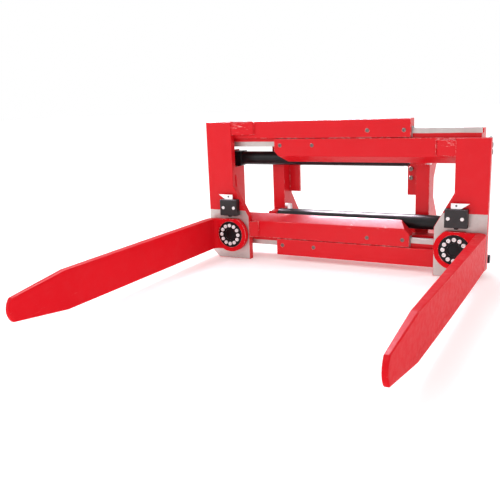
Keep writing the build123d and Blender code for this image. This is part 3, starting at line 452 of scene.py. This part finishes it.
def black_enamel(name, paint):
    """Black enamel, a little dusty and chipped."""
    material, tree, shader = start_material(name)
    coat = place_group(tree, "Sprayed coat", Cloud=9.0)
    pale_edges = place_group(tree, "Edge wear and highlight", Width=0.003, Wear=0.35)["Mask"]
    haze = place_group(tree, "Yard dust", Amount=0.04)["Mask"]
    colour = mix(tree, coat["Thin"], rgba(paint.black), rgba([c * 2.2 for c in paint.black]))
    colour = mix(tree, calc(tree, "MULTIPLY", pale_edges, 0.5), colour, BLACK_CHIP)
    colour = mix(tree, haze, colour, BLACK_HAZE)
    feed(tree, shader, Base_Color=colour, Roughness=calc(tree, "MULTIPLY_ADD", coat["Dull"], 0.12, 0.30),
         Coat_Weight=calc(tree, "SUBTRACT", 0.1, calc(tree, "MULTIPLY", haze, 0.1)), Coat_Roughness=0.15,
         Specular_IOR_Level=0.18, Normal=bump(tree, coat["Height"], 0.0003, 0.5, 0.001))
    return material


def plastic(name, colour, rough):
    """Cast nylon or moulded rubber: fine grain, rubbed paler on its edges."""
    material, tree, shader = start_material(name)
    grain = texture(tree, 420.0, 3.0)
    cloud = remap(tree, texture(tree, 30.0, 4.0), 0.3, 0.7)
    rubbed = place_group(tree, "Edge wear and highlight", Width=0.002, Wear=0.5, Grain=90.0)["Mask"]
    tone = mix(tree, cloud, rgba([c * 0.8 for c in colour]), rgba(colour))
    pale = rgba([min(1.0, c * 1.8 + 0.03) for c in colour])
    tone = mix(tree, calc(tree, "MULTIPLY", rubbed, 0.3), tone, pale)
    feed(tree, shader, Base_Color=tone, Roughness=calc(tree, "MULTIPLY_ADD", cloud, 0.1, rough),
         Normal=bump(tree, grain, 0.0001, 0.5, 0.001))
    return material


FINISHES = {
    "Weld enamel": lambda name, paint: enamel(name, paint, wear=0.9),
    "Black enamel": black_enamel,
    "Blackened steel": lambda name, paint: metal(name, (0.025, 0.025, 0.027), 0.45, spread=0.1),
    "Phosphated steel": lambda name, paint: metal(name, (0.06, 0.058, 0.06), 0.5),
    "Zinc plate": lambda name, paint: metal(name, paint.zinc, 0.35, stain=0.06, shine=0.35),
    "Weathered screws": lambda name, paint: metal(name, (0.30, 0.24, 0.22), 0.5, stain=0.5),
    "Hard chrome": lambda name, paint: metal(name, (0.78, 0.78, 0.8), 0.10, (1.0, 30.0, 30.0), 0.04, 0.04),
    "Turned steel": lambda name, paint: metal(name, (0.5, 0.5, 0.51), 0.32, (30.0, 1.0, 1.0)),
    "Bearing bronze": lambda name, paint: metal(name, (0.62, 0.42, 0.18), 0.34, (1.0, 30.0, 1.0)),
    "Liner nylon": lambda name, paint: plastic(name, paint.liner, 0.5),
    "Seal rubber": lambda name, paint: plastic(name, (0.02, 0.02, 0.022), 0.6),
}


def finish(name):
    """A shared material, made on its first use."""
    return bpy.data.materials.get(name) or FINISHES[name](name, bpy.context.scene.clamp_paint)


def assign(material, *nodes):
    """Give CAD nodes one material."""
    for name in nodes:
        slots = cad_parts[name].data.materials
        slots.clear()
        slots.append(material)


def both(*names):
    """The left and the right node of each name."""
    return [f"{side}_{name}" for side in SIDES for name in names]


# ---------------------------------------------------------------- mesh building
def finish_piece(name, bm, material, body, replaced=()):
    """Turn a bmesh into a piece that rides on a body, smooth where its faces meet at shallow angles."""
    bmesh.ops.remove_doubles(bm, verts=bm.verts, dist=ONE_PLACE)
    bmesh.ops.recalc_face_normals(bm, faces=bm.faces)
    mesh = bpy.data.meshes.new(name)
    bm.to_mesh(mesh)
    bm.free()
    mesh.materials.append(material)
    mesh.shade_smooth()
    mesh.set_sharp_from_angle(angle=SHARP_ANGLE)
    piece = bpy.data.objects.new(name, mesh)
    bpy.context.scene.collection.objects.link(piece)
    if replaced:
        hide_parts(*replaced)
    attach(piece, body)


def solid_boxes(name):
    """Corners of each separate solid of a CAD node."""
    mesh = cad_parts[name].data
    bm = bmesh.new()
    bm.from_mesh(mesh)
    bmesh.ops.remove_doubles(bm, verts=bm.verts, dist=ONE_PLACE)
    left, boxes = set(bm.verts), []
    while left:
        island, edge = set(), [left.pop()]
        while edge:
            vert = edge.pop()
            island.add(vert)
            edge += [e.other_vert(vert) for e in vert.link_edges if e.other_vert(vert) not in island]
        left -= island
        places = [v.co for v in island]
        boxes.append((Vector([min(c[i] for c in places) for i in range(3)]),
                      Vector([max(c[i] for c in places) for i in range(3)])))
    bm.free()
    return sorted(boxes, key=lambda box: tuple(box[0]))


def towards(direction):
    """Rotation that turns +Z to a direction."""
    return Vector(direction).to_track_quat("Z", "Y").to_matrix().to_4x4()


def turned_ring(bm, profile, centre, direction, segments):
    """Spin an outline of (radius, distance along the axis) round an axis; open ends must lie on it."""
    before = set(bm.verts)
    chain = [bm.verts.new((radius, 0.0, along)) for radius, along in profile]
    edges = [bm.edges.new(pair) for pair in zip(chain, chain[1:])]
    bmesh.ops.spin(bm, geom=chain + edges, cent=(0, 0, 0), axis=(0, 0, 1), angle=2 * math.pi,
                   steps=segments, use_merge=True, use_duplicate=False)
    made = [v for v in bm.verts if v not in before]
    bmesh.ops.remove_doubles(bm, verts=made, dist=1e-7)
    made = [v for v in bm.verts if v not in before]
    bmesh.ops.transform(bm, matrix=Matrix.Translation(centre) @ towards(direction), verts=made)
    return made


def socket_head(bm, centre, direction, radius, height, shank, length, screws):
    """A socket-head screw. centre is the middle of the seat, and direction points out of the head."""
    crown, across = radius * screws.crown, radius * screws.socket
    depth = height * 0.55
    profile = [(0.0, -length), (shank, -length), (shank, 0.0), (radius * 0.96, 0.0), (radius, height * 0.06),
               (radius, height - crown), (radius - crown * 0.3, height - crown * 0.3),
               (radius - crown, height), (across * 1.26, height), (across * 1.17, height - radius * 0.06),
               (across * 1.17, height - depth), (0.0, height - depth * 1.25)]
    made = turned_ring(bm, profile, (0, 0, 0), (0, 0, 1), screws.segments)
    for vert in made:
        reach = Vector(vert.co.xy).length
        if vert.co.z > height - depth * 1.1 and abs(reach - across * 1.17) < across * 0.02:
            angle = math.atan2(vert.co.y, vert.co.x) % (math.pi / 3) - math.pi / 6
            vert.co.xy *= across / math.cos(angle) / reach
    bmesh.ops.transform(bm, matrix=Matrix.Translation(centre) @ towards(direction), verts=made)


def fillet_bead(bm, start, end, first, second, welds, seed):
    """A rippled weld along start to end; first and second run up the two faces that it joins."""
    start, end = Vector(start), Vector(end)
    first, second = Vector(first).normalized(), Vector(second).normalized()
    run = end - start
    ripples = max(3, round(run.length / welds.pitch))
    steps = ripples * 3
    before = set(bm.verts)
    bmesh.ops.create_circle(bm, cap_ends=True, segments=TUBE_SIDES, radius=1.0)
    ring = [v for v in bm.verts if v not in before]
    bmesh.ops.translate(bm, verts=ring, vec=(0, 0, -0.5))
    edges = list({e for v in ring for e in v.link_edges})
    for _ in range(steps):
        new = bmesh.ops.extrude_edge_only(bm, edges=edges)["geom"]
        ring = {v for v in new if isinstance(v, bmesh.types.BMVert)}
        edges = [e for e in new if isinstance(e, bmesh.types.BMEdge) and ring.issuperset(e.verts)]
        bmesh.ops.translate(bm, verts=list(ring), vec=(0, 0, 1.0 / steps))
    bmesh.ops.contextual_create(bm, geom=edges)
    made = [v for v in bm.verts if v not in before]
    for vert in made:
        share = vert.co.z + 0.5
        turn = math.atan2(vert.co.y, vert.co.x)
        beat = abs(math.sin(math.pi * (share * ripples + 0.18 * math.sin(2 * turn))))
        wander = noise.noise(Vector((seed * 7.3, share * run.length * 60.0, 0.0)))
        end_taper = min(1.0, 0.35 + 12.0 * min(share, 1.0 - share))
        leg = welds.leg * end_taper * (1.0 - welds.ripple * (1.0 - beat) + 0.12 * wander)
        bulge = Vector((math.cos(turn), math.sin(turn)))
        middle = (first + second) * 0.30
        offset = middle + (first * bulge.x + second * bulge.y) * 0.46
        vert.co = start + run * share + offset * leg


def torus_bead(bm, centre, direction, radius, thickness, segments, ripple=0.0):
    """A round weld or seal: a small circle spun about an axis."""
    before = set(bm.verts)
    bmesh.ops.create_circle(bm, cap_ends=False, segments=TUBE_SIDES, radius=thickness)
    ring = [v for v in bm.verts if v not in before]
    bmesh.ops.transform(bm, verts=ring, matrix=Matrix.Translation((radius, 0, 0)) @ Matrix.Rotation(
        math.radians(90), 4, "X"))
    edges = list({e for v in ring for e in v.link_edges})
    bmesh.ops.spin(bm, geom=ring + edges, cent=(0, 0, 0), axis=(0, 0, 1), angle=2 * math.pi, steps=segments,
                   use_merge=True, use_duplicate=False)
    bmesh.ops.remove_doubles(bm, verts=[v for v in bm.verts if v not in before], dist=1e-7)
    made = [v for v in bm.verts if v not in before]
    for vert in made:
        angle = math.atan2(vert.co.y, vert.co.x)
        core = Vector((math.cos(angle) * radius, math.sin(angle) * radius, 0))
        vert.co = core + (vert.co - core) * (1.0 - ripple * abs(math.sin(angle * segments / 6)))
    bmesh.ops.transform(bm, matrix=Matrix.Translation(centre) @ towards(direction), verts=made)


# ---------------------------------------------------------------- operators
class CLAMP_OT_paint_weldments(bpy.types.Operator):
    """Spray the frame and both arms, and leave the rails' running bands and the pivot seats bare"""
    bl_idname = "clamp.paint_weldments"
    bl_label = "Paint weldments"

    def execute(self, context):
        paint = context.scene.clamp_paint
        assign(enamel("Red enamel, frame", paint, wear=0.45),
               "upper_crossbar", "lower_crossbar", "upper_hooks", "lower_hooks", "centring_lug",
               "hose_plates", "rod_anchors", *both("upright"))
        assign(enamel("Red enamel, arms", paint, wear=1.1, scraped=SCRAPED),
               *both("column", "upper_beam", "lower_beam", "gussets"))
        for side, height in zip(SIDES, paint.masking_height):
            plate = enamel(f"Red enamel, {side} pivot plate", paint, wear=0.6,
                           bare=lambda tree: below_line(tree, height))
            assign(plate, f"{side}_pivot_plate")
        for level in ("upper", "lower"):
            low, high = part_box(f"{level}_guide_rail")
            middle = (low.z + high.z) / 2 + (RAIL_PAINT_SHIFT if level == "upper" else -RAIL_PAINT_SHIFT)
            back = low.y + RAIL_BAND_DEPTH
            rail = enamel(f"Red enamel, {level} rail", paint, wear=0.4, stretch=(1.0, 40.0, 40.0),
                          bare=lambda tree: rail_bands(tree, middle, RAIL_PAINT_HALF, back))
            assign(rail, f"{level}_guide_rail")
        return {"FINISHED"}


class CLAMP_OT_paint_forks(bpy.types.Operator):
    """Spray the forks, with scrapes towards their tips"""
    bl_idname = "clamp.paint_forks"
    bl_label = "Paint forks"

    def execute(self, context):
        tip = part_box("left_fork")[0].y
        assign(fork_enamel(context.scene.clamp_paint, tip), *both("fork"))
        return {"FINISHED"}


class CLAMP_OT_finish_metals(bpy.types.Operator):
    """Give the cylinders, pivots, latches, liners and fittings their finishes"""
    bl_idname = "clamp.finish_metals"
    bl_label = "Finish metals and plastics"

    def execute(self, context):
        for name, nodes in (
                ("Black enamel", both("barrel", "gland")),
                ("Phosphated steel", both("lock_block")),
                ("Blackened steel", both("spindle", "cylinder_bolts", "end_stops", "latch_plunger")
                 + ["frame_screws"]),
                ("Zinc plate", both("port_fittings", "latch_plate", "lock_screws", "spindle_screws")
                 + ["rod_nuts"]),
                ("Weathered screws", both("bearing_screws") + ["supply_unions"]),
                ("Hard chrome", ["cylinder_rods"]),
                ("Turned steel", both("latch_spring") + ["cylinder_pistons"]),
                ("Bearing bronze", both("pivot_bush")),
                ("Liner nylon", both("slide_bearings") + ["rail_end_bearings"])):
            assign(finish(name), *nodes)
        return {"FINISHED"}


class CLAMP_OT_weld_arms(bpy.types.Operator):
    """Run weld beads round the gussets, up the columns and along their feet"""
    bl_idname = "clamp.weld_arms"
    bl_label = "Weld arms"

    def execute(self, context):
        welds = context.scene.clamp_weld
        for side, out in zip(SIDES, (-1, 1)):
            bm = bmesh.new()
            self.weld_gussets(bm, side, out, welds)
            self.weld_column(bm, side, out, welds)
            finish_piece(f"{side}_arm_welds", bm, finish("Weld enamel"), f"{side}_arm")
        return {"FINISHED"}

    def weld_gussets(self, bm, side, out, welds):
        """Three beads round each gusset: above, below and along its far end."""
        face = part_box(f"{side}_pivot_plate")[1].y
        for seed, (low, high) in enumerate(solid_boxes(f"{side}_gussets")):
            near, far = (high.x, low.x) if out > 0 else (low.x, high.x)
            for z, up in ((high.z, 1), (low.z, -1)):
                fillet_bead(bm, (near, face, z), (far, face, z), (0, 0, up), (0, -1, 0), welds,
                            seed + up * 0.3)
            fillet_bead(bm, (far, face, low.z), (far, face, high.z), (-out, 0, 0), (0, -1, 0), welds,
                        seed + 0.7)

    def weld_column(self, bm, side, out, welds):
        """Beads along both walls of the column, and on over the slope of the beam that is folded."""
        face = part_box(f"{side}_pivot_plate")[1].y
        low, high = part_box(f"{side}_column")
        up = 1 if side == "left" else -1
        beam_low, beam_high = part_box(f"{side}_lower_beam" if up > 0 else f"{side}_upper_beam")
        hub_low, hub_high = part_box(f"{side}_spindle")
        inner = out * (abs(hub_low.x + hub_high.x) / 2 - COLUMN_WELD_INSET)
        outer = inner + out * COLUMN_WELD_SPACING
        fold = beam_high.z if up > 0 else beam_low.z
        shoulder = fold - up * FOLD_TO_SHOULDER
        lip = beam_high.y
        ends = sorted((shoulder + up * 0.004, (high.z if up > 0 else low.z) - up * COLUMN_WELD_STOP))
        for x, way in ((outer, out), (inner, -out)):
            fillet_bead(bm, (x, face, ends[0]), (x, face, ends[1]), (way, 0, 0), (0, 1, 0), welds, x)
            fillet_bead(bm, (x, face + 0.003, shoulder + up * 0.001), (x, lip - 0.002, fold - up * 0.001),
                        (way, 0, 0), (0, -0.3, up), welds, x + 5)


class CLAMP_OT_weld_frame(bpy.types.Operator):
    """Run weld beads where rails, crossbars, hose plates and rod anchors meet the uprights"""
    bl_idname = "clamp.weld_frame"
    bl_label = "Weld frame"

    def execute(self, context):
        welds = context.scene.clamp_weld
        bm = bmesh.new()
        for side, out in zip(SIDES, (-1, 1)):
            low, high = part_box(f"{side}_upright")
            inner, outer = (low.x, high.x) if out > 0 else (high.x, low.x)
            for level, up in (("upper", 1), ("lower", -1)):
                rail_low, rail_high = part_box(f"{level}_guide_rail")
                end = high.z if up > 0 else low.z
                start = rail_low.z if up > 0 else rail_high.z
                for x, way in ((inner, -out), (outer, out)):
                    fillet_bead(bm, (x, low.y, start), (x, low.y, end), (way, 0, 0), (0, 1, 0), welds, x + up)
                fillet_bead(bm, (inner, low.y, end), (outer, low.y, end), (0, 0, up), (0, 1, 0), welds, up)
                bar_low, bar_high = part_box(f"{level}_crossbar")
                fillet_bead(bm, (inner, bar_low.y, bar_low.z), (inner, bar_low.y, bar_high.z), (-out, 0, 0),
                            (0, -1, 0), welds, out + 3)
            plate_low, plate_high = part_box("hose_plates")
            fillet_bead(bm, (inner, plate_low.y, plate_low.z), (inner, plate_low.y, plate_high.z),
                        (-out, 0, 0), (0, -1, 0), welds, out + 6)
        for seed, (low, high) in enumerate(solid_boxes("rod_anchors")):
            for x, way in ((low.x, -1), (high.x, 1)):
                fillet_bead(bm, (x, high.y, low.z), (x, high.y, high.z), (way, 0, 0), (0, -1, 0), welds,
                            seed + way)
        finish_piece("frame_welds", bm, finish("Weld enamel"), "frame")
        return {"FINISHED"}


class CLAMP_OT_fit_screws(bpy.types.Operator):
    """Put crowned socket heads in place of the plain screws of the pivots, locks, liners and cylinders"""
    bl_idname = "clamp.fit_screws"
    bl_label = "Fit screws"

    def execute(self, context):
        for side, out in zip(SIDES, (-1, 1)):
            low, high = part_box(f"{side}_spindle")
            axis = (low + high) / 2
            turns = [2 * math.pi * i / SCREW_COUNT for i in range(SCREW_COUNT)]
            circle = [(axis.x + SCREW_CIRCLE * math.cos(turn), axis.z + SCREW_CIRCLE * math.sin(turn))
                      for turn in turns]
            self.fit(side, "spindle_screws", circle, SPINDLE_SCREW, "Zinc plate")
            self.fit(side, "lock_screws", None, LOCK_SCREW, "Zinc plate")
            self.fit(side, "bearing_screws", None, BEARING_SCREW, "Weathered screws")
            self.fit_bolts(side, out)
        return {"FINISHED"}

    def fit(self, side, name, places, size, material):
        """Heads that look forward; without places, one stands in each corner of the replaced node."""
        radius, height, shank = size
        low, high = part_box(f"{side}_{name}")
        if places is None:
            across = (low.x + radius, high.x - radius)
            levels = sorted({round(z, 5) for z in (low.z + radius, high.z - radius)})
            places = [(x, z) for x in across for z in levels]
        bm = bmesh.new()
        for x, z in places:
            socket_head(bm, (x, low.y + height, z), FRONT, radius, height, shank, high.y - low.y - height,
                        bpy.context.scene.clamp_screw)
        finish_piece(f"{side}_{name}_heads", bm, finish(material), f"{side}_arm", (f"{side}_{name}",))

    def fit_bolts(self, side, out):
        """The two bolts that hold a cylinder's base, with their heads outwards."""
        radius, height, shank = CYLINDER_BOLT
        low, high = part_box(f"{side}_cylinder_bolts")
        face, tip = (high.x, low.x) if out > 0 else (low.x, high.x)
        bm = bmesh.new()
        for z in (low.z + radius, high.z - radius):
            socket_head(bm, (face - out * height, (low.y + high.y) / 2, z), (out, 0, 0), radius, height,
                        shank, abs(face - tip) - height, bpy.context.scene.clamp_screw)
        finish_piece(f"{side}_cylinder_bolt_heads", bm, finish("Blackened steel"),
                     f"{side}_arm", (f"{side}_cylinder_bolts",))


class CLAMP_OT_trim_cylinders(bpy.types.Operator):
    """Add the wiper seals, the retaining rings and the weld rings at the cylinders' bases"""
    bl_idname = "clamp.trim_cylinders"
    bl_label = "Trim cylinders"

    def execute(self, context):
        for side, out in zip(SIDES, (-1, 1)):
            low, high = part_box(f"{side}_gland")
            y, z = (low.y + high.y) / 2, (low.z + high.z) / 2
            mouth = low.x if out > 0 else high.x
            seal = bmesh.new()
            torus_bead(seal, (mouth, y, z), (1, 0, 0), *WIPER_SEAL, RING_STEPS)
            finish_piece(f"{side}_wiper_seal", seal, finish("Seal rubber"), f"{side}_arm")
            ring = bmesh.new()
            torus_bead(ring, (mouth + out * RING_INSET, y, z), (1, 0, 0), *RETAINING_RING, RING_STEPS)
            finish_piece(f"{side}_retaining_ring", ring, finish("Blackened steel"),
                         f"{side}_arm")
            barrel_low, barrel_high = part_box(f"{side}_barrel")
            base = (barrel_high.x if out > 0 else barrel_low.x) - out * BASE_LENGTH
            weld = bmesh.new()
            torus_bead(weld, (base, y, z), (1, 0, 0), *BASE_WELD, WELD_STEPS, ripple=0.03)
            finish_piece(f"{side}_base_weld", weld, finish("Black enamel"), f"{side}_arm")
        return {"FINISHED"}


class CLAMP_OT_cap_pivots(bpy.types.Operator):
    """Press a low domed dust cap into each spindle"""
    bl_idname = "clamp.cap_pivots"
    bl_label = "Cap pivots"

    def execute(self, context):
        for side in SIDES:
            low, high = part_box(f"{side}_spindle")
            seat = ((low.x + high.x) / 2, low.y + CAP_SEAT, (low.z + high.z) / 2)
            bm = bmesh.new()
            turned_ring(bm, DUST_CAP, seat, FRONT, CAP_STEPS)
            finish_piece(f"{side}_dust_cap", bm, finish("Blackened steel"), f"{side}_arm")
        return {"FINISHED"}


class CLAMP_OT_set_stage(bpy.types.Operator):
    """Set up the camera, a pale floor and soft studio light"""
    bl_idname = "clamp.set_stage"
    bl_label = "Set stage"

    def execute(self, context):
        stage, scene = context.scene.clamp_stage, context.scene
        camera = bpy.data.objects.new("camera", bpy.data.cameras.new("camera"))
        camera.data.lens = stage.lens
        camera.data.clip_end = 60
        tilt, roll, heading = stage.camera_turn
        turn = Euler((tilt, 0, heading)).to_matrix() @ Matrix.Rotation(roll, 3, "Z")
        camera.matrix_world = Matrix.Translation(stage.camera_place) @ turn.to_4x4()
        scene.collection.objects.link(camera)
        scene.camera = camera

        low = cad_box[0]
        bm = bmesh.new()
        bmesh.ops.create_grid(bm, x_segments=1, y_segments=1, size=FLOOR_HALF)
        bmesh.ops.translate(bm, vec=(0, 0, low[2]), verts=bm.verts)
        mesh = bpy.data.meshes.new("floor")
        bm.to_mesh(mesh)
        bm.free()
        material, tree, shader = start_material("Floor")
        grain = remap(tree, texture(tree, 3.0, 5.0), 0.3, 0.7)
        tone = mix(tree, grain, rgba([c * 0.985 for c in stage.floor]), rgba(stage.floor))
        feed(tree, shader, Base_Color=tone, Roughness=0.9, Emission_Color=rgba(WHITE),
             Emission_Strength=FLOOR_GLOW)
        mesh.materials.append(material)
        floor = bpy.data.objects.new("floor", mesh)
        scene.collection.objects.link(floor)

        scene.view_settings.view_transform = "Standard"
        scene.world = bpy.data.worlds.new("Surround")
        scene.world.use_nodes = True
        background = scene.world.node_tree.nodes["Background"]
        background.inputs["Color"].default_value = rgba(WHITE)
        background.inputs["Strength"].default_value = stage.sky

        for name, power, size, place, aim in (
                ("key", stage.key, (2.0, 2.0), (-2.6, -3.4, 1.6), (0, -0.5, -0.2)),
                ("overhead", stage.top, (2.2, 0.9), (-0.9, 0.55, 2.2), (-0.7, 0.0, -0.2)),
                ("sheen", stage.sheen, (2.3, 0.6), (-1.1, 0.45, 2.2), (-0.1, -0.26, -0.3))):
            light = bpy.data.lights.new(name, "AREA")
            light.shape = "RECTANGLE"
            light.energy, light.size, light.size_y = power, *size
            lamp = bpy.data.objects.new(name, light)
            lamp.location = place
            lamp.visible_diffuse = name != "sheen"
            light.color = SHEEN_TINT if name == "sheen" else WHITE
            lamp.rotation_euler = (Vector(aim) - Vector(place)).to_track_quat("-Z", "Y").to_euler()
            scene.collection.objects.link(lamp)
        return {"FINISHED"}


class CLAMP_PT_panel(bpy.types.Panel):
    bl_idname = "CLAMP_PT_panel"
    bl_label = "Fork clamp"
    bl_space_type = "VIEW_3D"
    bl_region_type = "UI"
    bl_category = "Fork clamp"

    def draw(self, context):
        for group in SETTINGS:
            holder = getattr(context.scene, group)
            for prop in holder.__annotations__:
                self.layout.prop(holder, prop)
        for operator in OPERATORS:
            self.layout.operator(operator.bl_idname)


SETTINGS = {"clamp_paint": PaintSettings, "clamp_weld": WeldSettings, "clamp_screw": ScrewSettings,
            "clamp_stage": StageSettings}
OPERATORS = (CLAMP_OT_paint_weldments, CLAMP_OT_paint_forks, CLAMP_OT_finish_metals, CLAMP_OT_weld_arms,
             CLAMP_OT_weld_frame, CLAMP_OT_fit_screws, CLAMP_OT_trim_cylinders, CLAMP_OT_cap_pivots,
             CLAMP_OT_set_stage)


def register():
    for cls in (*SETTINGS.values(), *OPERATORS, CLAMP_PT_panel):
        bpy.utils.register_class(cls)
    for name, cls in SETTINGS.items():
        setattr(bpy.types.Scene, name, PointerProperty(type=cls))


def unregister():
    for name in SETTINGS:
        delattr(bpy.types.Scene, name)
    for cls in reversed((*SETTINGS.values(), *OPERATORS, CLAMP_PT_panel)):
        bpy.utils.unregister_class(cls)


def main():
    register()
    for operator in OPERATORS:
        family, name = operator.bl_idname.split(".")
        getattr(getattr(bpy.ops, family), name)()


if __name__ == "__main__":
    main()
